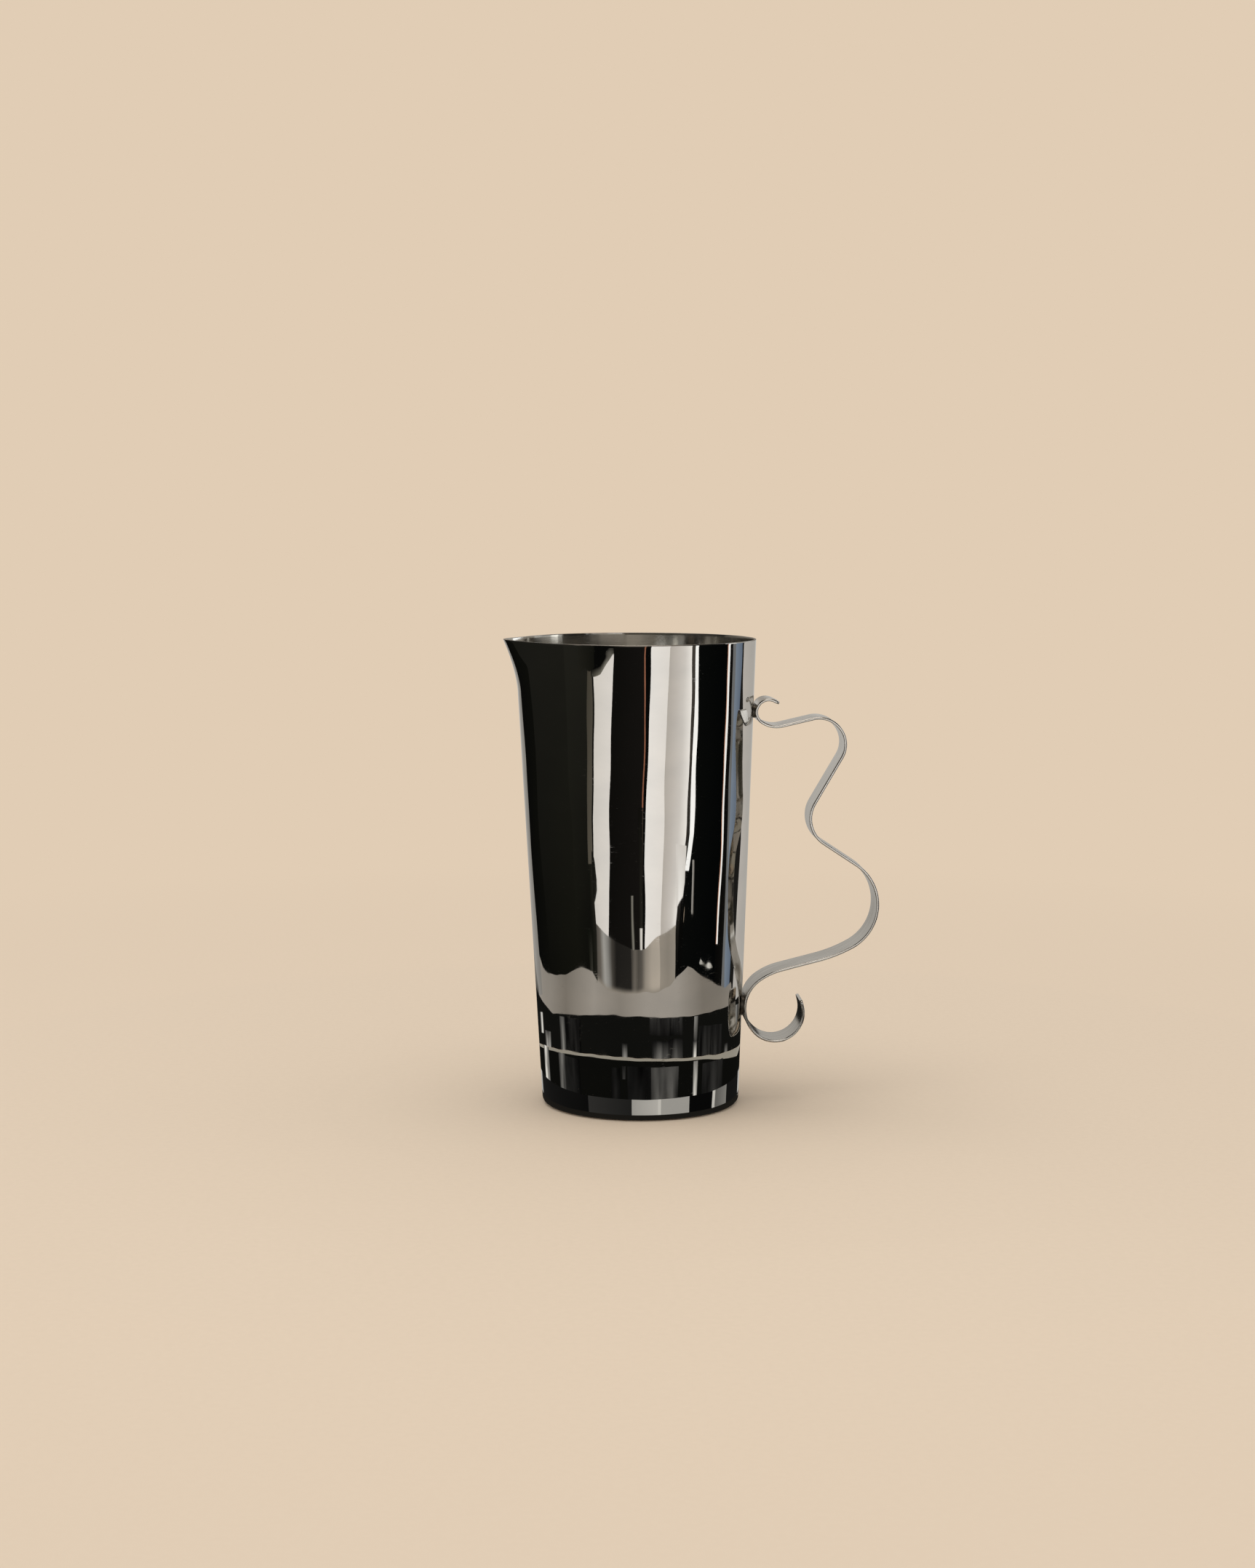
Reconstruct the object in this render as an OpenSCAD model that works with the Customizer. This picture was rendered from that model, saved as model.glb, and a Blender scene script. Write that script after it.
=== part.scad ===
// Tapered sheet-metal pitcher with a pulled pouring lip and a handle bent from one flat strip.
// Millimetres, +Z up, origin at the centre of the flat base. The lip points to -X, the handle to +X.

/* [Body] */
// Height from the table to the rim
height = 240; // [222:1:280]
// Outside diameter at the rim
mouth_d = 123.5; // [116:0.5:135]
// Outside diameter at the base, before its corner is rounded
base_d = 101.5; // [92:0.5:108]
// How far the rim's centre sits off the base's centre, toward the lip
mouth_offset = 2.65; // [0:0.05:6]
// Thickness of the sheet that the wall and the bottom are made of
sheet = 1; // [0.8:0.1:1.4]
// Outside radius of the corner between the bottom and the wall
base_corner_r = 3; // [2:0.5:5]
// Straight wall that the pressed bottom carries above its corner, up to the welded seam
base_upstand = 1.5; // [1:0.5:4]

/* [Pouring lip] */
// How far the lip's tip stands out beyond the tapered wall
lip_reach = 5.6; // [3:0.1:9]
// How far below the rim the wall starts to turn outward
lip_depth = 26; // [16:1:40]
// Half of the angle that the lip takes up around the rim
lip_half_angle = 26; // [18:1:34]
// How the lip's outward turn gathers toward the rim, 1 is a straight flare
lip_curl = 1.7; // [1.3:0.1:2.4]

/* [Handle strip] */
// Width of the strip
strip_w = 22; // [14:0.5:26]
// Thickness of the strip
strip_t = 1.5; // [1:0.1:2.2]
// Radius that the strip's long edges are eased with
strip_edge_r = 0.4; // [0.2:0.05:0.45]
// Radius of the corners at the strip's two ends
tip_corner_r = 2; // [1:0.5:2.5]
// Straight end of the strip at each tip
tip_run = 3; // [2.5:0.5:6]

/* [Handle bends, from the upper tip to the lower one] */
// Drop from the rim to the place where the upper scroll touches the wall
seat_drop = 37.6; // [32:0.1:42]
// Radius of the upper scroll
scroll_r = 6.3; // [5:0.1:7]
// Turn of the upper scroll from its seat up and over to the tip
scroll_turn = 113; // [90:1:140]
// Turn of the upper scroll from its seat downward
scroll_foot_turn = 57.5; // [50:0.5:65]
// Radius of the dip under the upper scroll
dip_r = 13.4; // [11:0.1:15]
// Turn of the dip
dip_turn = 47.5; // [42:0.5:54]
// Straight run that rises from the dip to the shoulder
rise_run = 16.2; // [12:0.1:20]
// Radius of the shoulder
shoulder_r = 13.6; // [11:0.1:17]
// Turn of the shoulder
shoulder_turn = 133.3; // [128:0.1:140]
// Straight run that falls from the shoulder to the waist
waist_run = 27.2; // [20:0.1:32]
// Radius of the waist
waist_r = 15.5; // [12:0.1:18]
// Turn of the waist
waist_turn = 86.7; // [80:0.1:92]
// Straight run from the waist to the belly
belly_run = 20.4; // [16:0.1:25]
// Radius of the belly
belly_r = 24.9; // [20:0.1:28]
// Turn of the belly
belly_turn = 117.4; // [110:0.1:122]
// Radius of the long sweep that leaves the belly
sweep_r = 72; // [60:1:84]
// Turn of the long sweep
sweep_turn = 14.8; // [11:0.1:18]
// Radius where the strip starts to turn down to the lower scroll
turn_in_r = 34; // [28:0.5:40]
// Turn of that stretch
turn_in_turn = 20.5; // [16:0.5:25]
// Radius of the lower scroll where it touches the wall
heel_r = 18.2; // [15:0.1:21]
// Turn of the lower scroll from its seat on the wall downward
heel_turn = 48; // [40:1:56]
// Radius of the rest of the lower scroll
foot_r = 14.6; // [12:0.1:17]
// Turn of the rest of the lower scroll, up to its tip
foot_turn = 148.5; // [120:0.5:165]

/* [Welds] */
// Clearance between the strip and the wall where each scroll is welded on
seat_gap = 0.2; // [0.1:0.05:0.4]
// Width of each weld across the strip
weld_w = 16; // [8:1:20]
// Height of the upper weld along the wall
upper_weld_h = 7; // [5:0.5:8]
// Height of the lower weld along the wall
lower_weld_h = 11; // [8:0.5:14]

/* [Hidden] */
$fn = 180;
fine = 720;

// Right cone that the wall is cut from, in a frame that leans toward the lip by lean
lean = atan(mouth_offset / height);
taper = atan((mouth_d - base_d) / 2 / height);
seam_z = base_corner_r + base_upstand;
over = 6;

// Grid of the lip. It runs on by a lap of columns and rows under the surface of the cone around it,
// a hair deep, so that it rises out of the cone without a step.
lip_cols = 26;
lip_rows = 12;
lip_lap = 1;
lip_col = 2 * lip_half_angle / lip_cols;
lip_row = lip_depth / lip_rows;
skin = 0.02;

// Outside radius of the cone at a height along its axis
function wall_r(z) = base_d / 2 + z * tan(taper);

// How far the lip stands out of the wall, at an angle off its middle and a depth under the rim
function lip_out(a, depth) =
    abs(a) >= lip_half_angle || depth >= lip_depth ? 0
    : lip_reach * pow(cos(90 * a / lip_half_angle), 2) * pow(1 - depth / lip_depth, lip_curl);

// Strip path: each bend is [radius, turn, straight run after it], a left turn is positive.
// A pose is [out, up, heading], in the wall's frame: out of the wall, up along it.
function go(p, b) =
    let (s = sign(b[1]), h = p[2], g = p[2] + b[1])
    [p[0] + s * b[0] * (sin(g) - sin(h)) + b[2] * cos(g),
     p[1] - s * b[0] * (cos(g) - cos(h)) + b[2] * sin(g),
     g];
function path(start, bends) =
    [for (i = 0, p = start; i <= len(bends); p = i < len(bends) ? go(p, bends[i]) : p, i = i + 1) p];

// Bends of the strip from the upper tip to where the long sweep ends
seat_out = seat_gap + strip_t / 2;
upper_tip = go([seat_out, 0, 90], [scroll_r, -scroll_turn, 0]);
start = [upper_tip[0], upper_tip[1], upper_tip[2] + 180];
to_sweep = [
    [scroll_r, scroll_turn + scroll_foot_turn, 0],
    [dip_r, dip_turn, rise_run],
    [shoulder_r, -shoulder_turn, waist_run],
    [waist_r, waist_turn, belly_run],
    [belly_r, -belly_turn, 0]
];

// The run after the sweep is as long as it takes to bring the lower scroll onto the wall
sweep_end = go(path(start, to_sweep)[len(to_sweep)], [sweep_r, -sweep_turn, 0]);
heel_heading = sweep_end[2] + turn_in_turn;
heel_reach = turn_in_r * (sin(sweep_end[2]) - sin(heel_heading)) + heel_r * (sin(heel_heading) + 1);
closing_run = (sweep_end[0] - seat_out - heel_reach) / -cos(sweep_end[2]);
bends = concat(to_sweep, [
    [sweep_r, -sweep_turn, closing_run],
    [turn_in_r, turn_in_turn, 0],
    [heel_r, 270 - heel_heading, 0],
    [heel_r, heel_turn, 0],
    [foot_r, foot_turn, 0]
]);
poses = path(start, bends);
lower_seat = poses[len(bends) - 2];
lower_tip = poses[len(bends)];

// Stations of the strip: a pose and half of the strip's width there
bend_step = 6;
tip_steps = 4;
section_steps = 1;

// Stations of a tip, from its end inward: d runs from the end, the corners are quarter circles
function tip_stations(end) =
    [for (k = [0 : tip_steps])
        let (q = 90 * k / tip_steps, d = tip_corner_r * (1 - cos(q)),
             p = go(end, [0, 1, d]))
        [p[0], p[1], end[2], strip_w / 2 - tip_corner_r * (1 - sin(q))]];

// Stations along bend i, without the one that ends it unless a straight run follows
function bend_stations(i) =
    let (b = bends[i], n = ceil(abs(b[1]) / bend_step), last = b[2] > 0 ? n : n - 1)
    [for (k = [0 : last])
        let (p = go(poses[i], [b[0], b[1] * k / n, 0])) [p[0], p[1], p[2], strip_w / 2]];

// Puts children into the leaning frame of the cone
module leaning() {
    rotate([0, -lean, 0]) children();
}

// Puts children on the handle side of the wall, +X out of the wall and +Z up along it
module on_wall() {
    z = height - seat_drop;
    leaning() translate([wall_r(z), 0, z]) rotate([0, taper, 0]) children();
}

// Cone of the wall's outside, set in by an inset and longer than the pitcher at both ends
module cone(inset) {
    translate([0, 0, -over])
        cylinder(r1 = wall_r(-over) - inset, r2 = wall_r(height + over) - inset, h = height + 2 * over);
}

// Level slab between two heights
module slab(low, high) {
    side = 2 * mouth_d;
    translate([-side / 2, -side / 2, low]) cube([side, side, high - low]);
}

// Block behind the lip's surface, set in by an inset, its back deep inside the cone
module lip_block(inset) {
    cols = lip_cols + 2 * lip_lap;
    rows = lip_rows + lip_lap + ceil(over / lip_row);
    back = mouth_d / 4;
    function at(i, j, deep) =
        let (a = (i - lip_lap) * lip_col - lip_half_angle, depth = lip_depth - (j - lip_lap) * lip_row,
             r = wall_r(height - depth) - deep + lip_out(a, depth))
        [-r * cos(a), r * sin(a), height - depth];
    n = cols + 1;
    skin_points = n * (rows + 1);
    points = [for (deep = [inset + skin, back], j = [0 : rows], i = [0 : cols]) at(i, j, deep)];
    // Two triangles for the corners a, b, c and d of one face, in order
    function quad(a, b, c, d) = [[a, b, c], [a, c, d]];
    function outer(i, j) = j * n + i;
    function inner(i, j) = skin_points + j * n + i;
    faces = concat(
        [for (j = [0 : rows - 1], i = [0 : cols - 1])
            each quad(outer(i, j), outer(i + 1, j), outer(i + 1, j + 1), outer(i, j + 1))],
        [for (j = [0 : rows - 1], i = [0 : cols - 1])
            each quad(inner(i, j), inner(i, j + 1), inner(i + 1, j + 1), inner(i + 1, j))],
        [for (i = [0 : cols - 1])
            each quad(outer(i, 0), inner(i, 0), inner(i + 1, 0), outer(i + 1, 0))],
        [for (i = [0 : cols - 1])
            each quad(outer(i, rows), outer(i + 1, rows), inner(i + 1, rows), inner(i, rows))],
        [for (j = [0 : rows - 1])
            each quad(outer(0, j), outer(0, j + 1), inner(0, j + 1), inner(0, j))],
        [for (j = [0 : rows - 1])
            each quad(outer(cols, j), inner(cols, j), inner(cols, j + 1), outer(cols, j + 1))]
    );
    polyhedron(points, faces);
}

// Cone with the lip pulled out of it, both set in by an inset
module lipped_cone(inset) {
    leaning() union() {
        cone(inset);
        lip_block(inset);
    }
}

// Tapered wall with the pulled lip at its mouth
module body_shell() {
    color("silver") difference() {
        intersection() {
            lipped_cone(0);
            slab(seam_z, height);
        }
        lipped_cone(sheet);
    }
}

// Half profile of the bottom, closed up to a height, inset from the outside all round
module pan_profile(inset, top) {
    side = wall_r(base_corner_r);
    x = side - base_corner_r;
    translate([0, inset]) square([x, top - inset]);
    translate([x, base_corner_r]) circle(r = base_corner_r - inset);
    translate([0, base_corner_r]) polygon([
        [0, 0], [side - inset, 0],
        [side - inset + (top - base_corner_r) * tan(taper), top - base_corner_r],
        [0, top - base_corner_r]]);
}

// Pressed bottom with a rounded corner and a short upstand to the seam
module base_pan() {
    color("lightgray") rotate_extrude() intersection() {
        difference() {
            pan_profile(0, seam_z);
            pan_profile(sheet, seam_z + over);
        }
        square([mouth_d, seam_z]);
    }
}

// Corners of the strip's cross-section at a station, its long edges eased
function ring(st) =
    [for (corner = [0 : 3], k = [0 : section_steps])
        let (q = 90 * corner + 90 * k / section_steps, sx = corner == 0 || corner == 3 ? 1 : -1,
             sy = corner < 2 ? 1 : -1,
             off = sx * (strip_t / 2 - strip_edge_r) + strip_edge_r * cos(q),
             side = sy * (st[3] - strip_edge_r) + strip_edge_r * sin(q))
        [st[0] - off * sin(st[2]), side, st[1] + off * cos(st[2])]];

// One flat strip bent into the wavy handle, with a scroll at each end
module handle_strip() {
    first = go(start, [0, 1, -tip_run]);
    last = go(lower_tip, [0, 1, tip_run]);
    back = tip_stations([last[0], last[1], lower_tip[2] + 180]);
    stations = concat(
        tip_stations([first[0], first[1], start[2]]),
        [for (i = [0 : len(bends) - 1]) each bend_stations(i)],
        [[lower_tip[0], lower_tip[1], lower_tip[2], strip_w / 2]],
        [for (k = [tip_steps : -1 : 0]) [back[k][0], back[k][1], lower_tip[2], back[k][3]]]
    );
    n = 4 * (section_steps + 1);
    rings = len(stations);
    faces = concat(
        [[for (k = [0 : n - 1]) k]],
        [for (j = [0 : rings - 2], k = [0 : n - 1])
            [j * n + k, (j + 1) * n + k, (j + 1) * n + (k + 1) % n, j * n + (k + 1) % n]],
        [[for (k = [n - 1 : -1 : 0]) (rings - 1) * n + k]]
    );
    color("darkgray") on_wall() polyhedron([for (st = stations) each ring(st)], faces);
}

// Weld that fills the wedge between the wall and a scroll of radius r that touches it at up
module weld(up, r, h) {
    deep = 2 * strip_t;
    difference() {
        on_wall() translate([-deep, 0, up]) rotate([0, 90, 0]) linear_extrude(2 * deep) union() {
            square([h, weld_w - h], center = true);
            for (s = [-1, 1]) translate([0, s * (weld_w - h) / 2]) circle(r = h / 2);
        }
        leaning() cone(0, $fn = fine);
        on_wall() translate([seat_out + r, 0, up]) rotate([90, 0, 0])
            cylinder(r = r + strip_t / 2, h = 2 * strip_w, center = true, $fn = fine);
    }
}

// Weld behind the upper scroll
module upper_weld() {
    color("gray") weld(0, scroll_r, upper_weld_h);
}

// Weld behind the lower scroll
module lower_weld() {
    color("gray") weld(lower_seat[1], heel_r, lower_weld_h);
}

body_shell();
base_pan();
handle_strip();
upper_weld();
lower_weld();
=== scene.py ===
"""Looks of the tall steel pitcher: finer surfaces, polished and brushed steel, studio and camera."""
import math

import bmesh
import bpy
import numpy as np
from mathutils import Matrix


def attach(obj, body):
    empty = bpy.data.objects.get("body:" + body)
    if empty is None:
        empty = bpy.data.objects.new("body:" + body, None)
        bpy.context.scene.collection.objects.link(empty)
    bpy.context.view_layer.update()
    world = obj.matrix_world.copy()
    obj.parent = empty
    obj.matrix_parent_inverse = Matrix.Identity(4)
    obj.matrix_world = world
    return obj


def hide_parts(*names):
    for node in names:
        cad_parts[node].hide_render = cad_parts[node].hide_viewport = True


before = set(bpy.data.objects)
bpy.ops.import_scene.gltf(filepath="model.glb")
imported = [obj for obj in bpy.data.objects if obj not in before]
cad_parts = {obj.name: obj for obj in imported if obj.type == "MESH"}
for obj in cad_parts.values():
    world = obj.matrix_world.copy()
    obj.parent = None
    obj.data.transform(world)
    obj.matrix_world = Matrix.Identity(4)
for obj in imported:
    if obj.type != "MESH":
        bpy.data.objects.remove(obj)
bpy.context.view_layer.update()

MM = 0.001
TAU = 2 * math.pi

# Sizes of the vessel, in millimetres
HEIGHT = 240.0
MOUTH_D = 123.5
BASE_D = 101.5
MOUTH_OFFSET = 2.65
SHEET = 1.0
CORNER_R = 3.0
UPSTAND = 1.5
RIM_R = 0.3

# The pulled lip: its reach, its depth down the wall, half its angle round the mouth and the power of its flare
LIP_REACH = 5.6
LIP_DEPTH = 26.0
LIP_HALF = math.radians(26.0)
LIP_CURL = 1.7

# The handle's strip, in millimetres. Its faces lie a little inside those of the solid
STRIP_W = 22.0
STRIP_T = 1.5
STRIP_EDGE_R = 0.68
FACE_INSET = 0.025
END_R = 0.3
TIP_R = 2.0
TIP_RUN = 3.0
SEAT_GAP = 0.2
SEAT_DROP = 37.6

# The strip's bends from its upper tip to the lower one: radius, turn in degrees and the straight run after it
SCROLL_R = 6.3
SCROLL_TURN = 113.0
SCROLL_FOOT_TURN = 57.5
BENDS = (
    (SCROLL_R, SCROLL_TURN + SCROLL_FOOT_TURN, 0.0),
    (13.4, 47.5, 16.2),
    (13.6, -133.3, 27.2),
    (15.5, 86.7, 20.4),
    (24.9, -117.4, 0.0))
SWEEP = (72.0, -14.8)
TURN_IN = (34.0, 20.5)
HEEL_R = 18.2
HEEL_TURN = 48.0
FOOT_BEND = (14.6, 148.5)

LEAN = math.atan(MOUTH_OFFSET / HEIGHT)
TAPER = math.atan((MOUTH_D - BASE_D) / 2 / HEIGHT)
SEAM_Z = CORNER_R + UPSTAND

# How finely the surfaces are divided: counts of points and rows, steps in degrees and in millimetres
LIP_SPAN = 30.0
LIP_STEP = 0.6
REST_COLUMNS = 330
LIP_FOOT = HEIGHT - LIP_DEPTH - 2.0
LOW_ROWS = 104
HIGH_ROWS = 27
RIM_ROWS = 5
LEVEL_ROUNDS = 4
HUB_R = 0.02
HUB_ROWS = 24
CORNER_ROWS = 10
UPSTAND_ROWS = 3
PAN_COLUMNS = 360
BEND_STEP = 2.0
RUN_STEP = 2.5
TIP_STEPS = 8
EDGE_POINTS = 8
FACE_POINTS = (0.008, 0.1, 0.23, 0.36, 0.5, 0.64, 0.77, 0.9, 0.992)
SHARP_SHEET = math.radians(40)
SHARP_STRIP = math.radians(55)

# Numbers of a piece's materials
OUTSIDE, INSIDE, RIM = 0, 1, 2
FACE, EDGE = 0, 1

# Waves of the hand-polished wall: height, turns round the wall, vertical wave length and phase
WAVES = (
    (0.0120, 7, 270.0, 0.4), (0.0110, 10, -170.0, 1.9), (0.0090, 13, 120.0, 4.1), (0.0070, 17, -92.0, 2.7),
    (0.0058, 22, 70.0, 5.3), (0.0042, 29, -52.0, 0.9), (0.0026, 37, 41.0, 3.6), (0.0015, 47, -33.0, 1.2))
# The waves fade out over these heights, below the rim and above the seam
FADE_TOP = 5.0
FADE_LOW = 6.0


# Shapes
def wall_r(z):
    """Outside radius of the cone at a height along its own axis."""
    return BASE_D / 2 + z * math.tan(TAPER)


def lip_out(angle, z):
    """How far the pulled lip stands out of the cone; angle is measured from the lip's middle."""
    depth = HEIGHT - z
    inside = (np.abs(angle) < LIP_HALF) & (depth < LIP_DEPTH)
    across = np.cos(np.clip(np.abs(angle) / LIP_HALF, 0, 1) * math.pi / 2) ** 2
    down = np.clip(1 - depth / LIP_DEPTH, 0, None) ** LIP_CURL
    return np.where(inside, LIP_REACH * across * down, 0.0)


def ripple(angle, z):
    """Unevenness of the hand-polished wall, in millimetres, a few hundredths high."""
    return sum(h * np.sin(k * angle + TAU * z / length + phase) for h, k, length, phase in WAVES)


def leaning_wall(angle, level, inset, rippled=True):
    """Points of the wall at one level above the table, set in by inset, at angles round its axis."""
    x_side = np.cos(angle)
    z = np.full_like(angle, level)
    for _ in range(LEVEL_ROUNDS):
        radius = wall_r(z) - inset + lip_out(np.angle(-np.exp(1j * angle)), z)
        z = (level - radius * x_side * math.sin(LEAN)) / math.cos(LEAN)
    if rippled:
        fade = np.clip((HEIGHT - level) / FADE_TOP, 0, 1) * np.clip((level - SEAM_Z) / FADE_LOW, 0, 1)
        radius = radius + ripple(angle, level) * fade
    x, y = radius * x_side, radius * np.sin(angle)
    return np.stack([x * math.cos(LEAN) - z * math.sin(LEAN), y, np.full_like(x, level)], axis=-1)


def grid_mesh(name, rows, closed_rings=True, parts=None):
    """Mesh from rows of points, rows[i][j], where each row is a closed ring or an open line.
    parts gives the number of the material for each gap between two rows."""
    rows = np.asarray(rows)
    n_rows, n = rows.shape[:2]
    verts = (rows.reshape(-1, 3) * MM).tolist()
    faces, numbers = [], []
    for i in range(n_rows - 1):
        for j in range(n if closed_rings else n - 1):
            k = (j + 1) % n
            faces.append((i * n + j, i * n + k, (i + 1) * n + k, (i + 1) * n + j))
            numbers.append(parts[i] if parts else 0)
    mesh = bpy.data.meshes.new(name)
    mesh.from_pydata(verts, [], faces)
    mesh.polygons.foreach_set("material_index", numbers)
    mesh.polygons.foreach_set("use_smooth", [True] * len(faces))
    mesh.update()
    piece = bpy.data.objects.new(name, mesh)
    bpy.context.scene.collection.objects.link(piece)
    return piece


def add_piece(piece, replaced, materials):
    """Give a finer piece its materials, and put it in the place of a solid of the frame."""
    for material in materials:
        piece.data.materials.append(material)
    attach(piece, "root")
    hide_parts(replaced)
    return piece


def make_wall():
    """Tapered wall with its lip: outside, rim and inside as one surface, closed at the seam."""
    lip = np.radians(np.arange(-LIP_SPAN, LIP_SPAN, LIP_STEP)) + math.pi
    rest = np.linspace(lip[-1] + math.radians(LIP_STEP), lip[0] + TAU, REST_COLUMNS)[:-1]
    angle = np.concatenate([lip, rest])
    low = np.linspace(SEAM_Z, LIP_FOOT, LOW_ROWS)
    high = np.linspace(LIP_FOOT, HEIGHT - RIM_R, HIGH_ROWS)[1:]
    up_outside = np.concatenate([low, high])
    down_inside = np.concatenate([high[::-1], low[::-2], [SEAM_Z]])
    over_rim = np.radians(np.linspace(0, 90, RIM_ROWS))[1:]

    def rim_row(q, side, sign):
        inset = side + sign * RIM_R * (1 - math.cos(q))
        return leaning_wall(angle, HEIGHT - RIM_R * (1 - math.sin(q)), inset, False)

    rows = [leaning_wall(angle, level, 0.0) for level in up_outside]
    rows += [rim_row(q, 0.0, 1) for q in over_rim]
    rows += [rim_row(q, SHEET, -1) for q in over_rim[::-1]]
    rows += [leaning_wall(angle, level, SHEET, False) for level in down_inside]
    rows.append(rows[0])
    parts = [OUTSIDE] * len(up_outside) + [RIM] * 2 * len(over_rim) + [INSIDE] * len(down_inside)
    piece = grid_mesh("wall", rows, parts=parts)
    piece.data.set_sharp_from_angle(angle=SHARP_SHEET)
    return piece


def pan_profile(inset):
    """Outline of the bottom from its middle to the seam, as (radius, height), set in by inset."""
    side = wall_r(CORNER_R)
    corner = CORNER_R - inset
    disc = [(r, inset) for r in np.linspace(HUB_R, side - CORNER_R, HUB_ROWS)]
    turn = [(side - CORNER_R + corner * math.sin(q), CORNER_R - corner * math.cos(q))
            for q in np.radians(np.linspace(0, 90, CORNER_ROWS))[1:]]
    upstand = [(side - inset + d * math.tan(TAPER), CORNER_R + d)
               for d in np.linspace(0, UPSTAND, UPSTAND_ROWS + 1)[1:]]
    return disc + turn + upstand


def make_pan():
    """Pressed bottom: flat disc, rounded corner and the short upstand to the seam."""
    angle = np.linspace(0, TAU, PAN_COLUMNS + 1)[:-1]
    outer, inner = pan_profile(0.0), pan_profile(SHEET)
    rows = [np.stack([r * np.cos(angle), r * np.sin(angle), np.full_like(angle, z)], axis=-1)
            for r, z in outer + inner[::-1] + outer[:1]]
    piece = grid_mesh("bottom", rows, parts=[OUTSIDE] * len(outer) + [INSIDE] * len(inner))
    piece.data.set_sharp_from_angle(angle=SHARP_SHEET)
    return piece


def go(pose, bend):
    """Pose (out, up, heading) at the end of a bend and its straight run."""
    x, z, h = pose
    radius, turn, run = bend
    s, h0, h1 = math.copysign(1, turn), math.radians(h), math.radians(h + turn)
    return (x + s * radius * (math.sin(h1) - math.sin(h0)) + run * math.cos(h1),
            z - s * radius * (math.cos(h1) - math.cos(h0)) + run * math.sin(h1), h + turn)


def ahead(pose, run):
    """Pose after a straight run."""
    return go(pose, (0.0, 0.0, run))


def strip_bends():
    """Pose where the strip's first bend begins, and all its bends.
    The run after the sweep is as long as it takes for the lower scroll to meet the wall."""
    seat_out = SEAT_GAP + STRIP_T / 2
    x, z, heading = go((seat_out, 0.0, 90.0), (SCROLL_R, -SCROLL_TURN, 0.0))
    start = (x, z, heading + 180.0)
    end = start
    for bend in BENDS + (SWEEP + (0.0,),):
        end = go(end, bend)
    heading = end[2] + TURN_IN[1]
    reach = TURN_IN[0] * (math.sin(math.radians(end[2])) - math.sin(math.radians(heading)))
    reach += HEEL_R * (math.sin(math.radians(heading)) + 1)
    closing = (end[0] - seat_out - reach) / -math.cos(math.radians(end[2]))
    heel = (HEEL_R, 270.0 - heading + HEEL_TURN, 0.0)
    return start, BENDS + (SWEEP + (closing,), TURN_IN + (0.0,), heel, FOOT_BEND + (0.0,))


def tip_corner():
    """Half width of the strip and distance from its end, round the corner of a tip."""
    quarter = [math.radians(90 * k / TIP_STEPS) for k in range(TIP_STEPS + 1)]
    return [(STRIP_W / 2 - TIP_R * (1 - math.sin(q)), TIP_R * (1 - math.cos(q))) for q in quarter]


def strip_path():
    """Stations of the strip's middle line: (out, up, heading, half width, length so far)."""
    pose, bends = strip_bends()
    half = STRIP_W / 2
    stations = [ahead(pose, d - TIP_RUN) + (narrow, d) for narrow, d in tip_corner()]
    length = TIP_RUN
    for radius, turn, run in bends:
        arc = math.radians(abs(turn)) * radius
        n = max(2, math.ceil(abs(turn) / BEND_STEP))
        for k in range(n):
            stations.append(go(pose, (radius, turn * k / n, 0.0)) + (half, length + arc * k / n))
        pose = go(pose, (radius, turn, 0.0))
        length += arc
        steps = math.ceil(run / RUN_STEP)
        for k in range(steps):
            stations.append(ahead(pose, run * k / steps) + (half, length + run * k / steps))
        pose = ahead(pose, run)
        length += run
    stations.append(pose + (half, length))
    for narrow, d in tip_corner()[::-1]:
        stations.append(ahead(pose, TIP_RUN - d) + (narrow, length + TIP_RUN - d))
    return stations


def strip_section(half):
    """Section of the strip as (off, side) points: four rounded corners, and points across its two faces."""
    section = []
    for corner in range(4):
        off = (1 if corner in (0, 3) else -1) * (STRIP_T / 2 - FACE_INSET - STRIP_EDGE_R)
        side = (1 if corner < 2 else -1) * (half - STRIP_EDGE_R)
        for q in np.radians(np.linspace(0, 90, EDGE_POINTS)) + corner * math.pi / 2:
            section.append((off + STRIP_EDGE_R * math.cos(q), side + STRIP_EDGE_R * math.sin(q)))
        if corner in (1, 3):
            off, side = section[-1]
            section += [(off, side * (1 - 2 * t)) for t in FACE_POINTS]
    return section


def finish_strip(mesh, lengths):
    """Tell faces and long edges apart, close both ends, and lay coordinates along the strip."""
    sides = [side for _, side in strip_section(STRIP_W / 2)]
    n = len(sides)
    flat_to = STRIP_W / 2 - STRIP_EDGE_R - 1e-6
    parts = [FACE if abs(sides[j] + sides[(j + 1) % n]) / 2 < flat_to else EDGE for j in range(n)]
    bm = bmesh.new()
    bm.from_mesh(mesh)
    bm.verts.ensure_lookup_table()
    for k, face in enumerate(bm.faces):
        face.material_index = parts[k % n]
    for i in (0, len(lengths) - 1):
        ring = [bm.verts[i * n + j] for j in range(n)]
        cap = bm.faces.new(ring if i else ring[::-1])
        cap.material_index = EDGE
        cap.smooth = True
    layer = bm.loops.layers.uv.new("along")
    for face in bm.faces:
        columns = [v.index % n for v in face.verts]
        wraps = max(columns) - min(columns) > n / 2
        for loop in face.loops:
            i, j = divmod(loop.vert.index, n)
            loop[layer].uv = (lengths[i] * MM, (j + (n if wraps and j < n / 2 else 0)) / n)
    bmesh.ops.recalc_face_normals(bm, faces=bm.faces)
    bm.to_mesh(mesh)
    bm.free()


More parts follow.
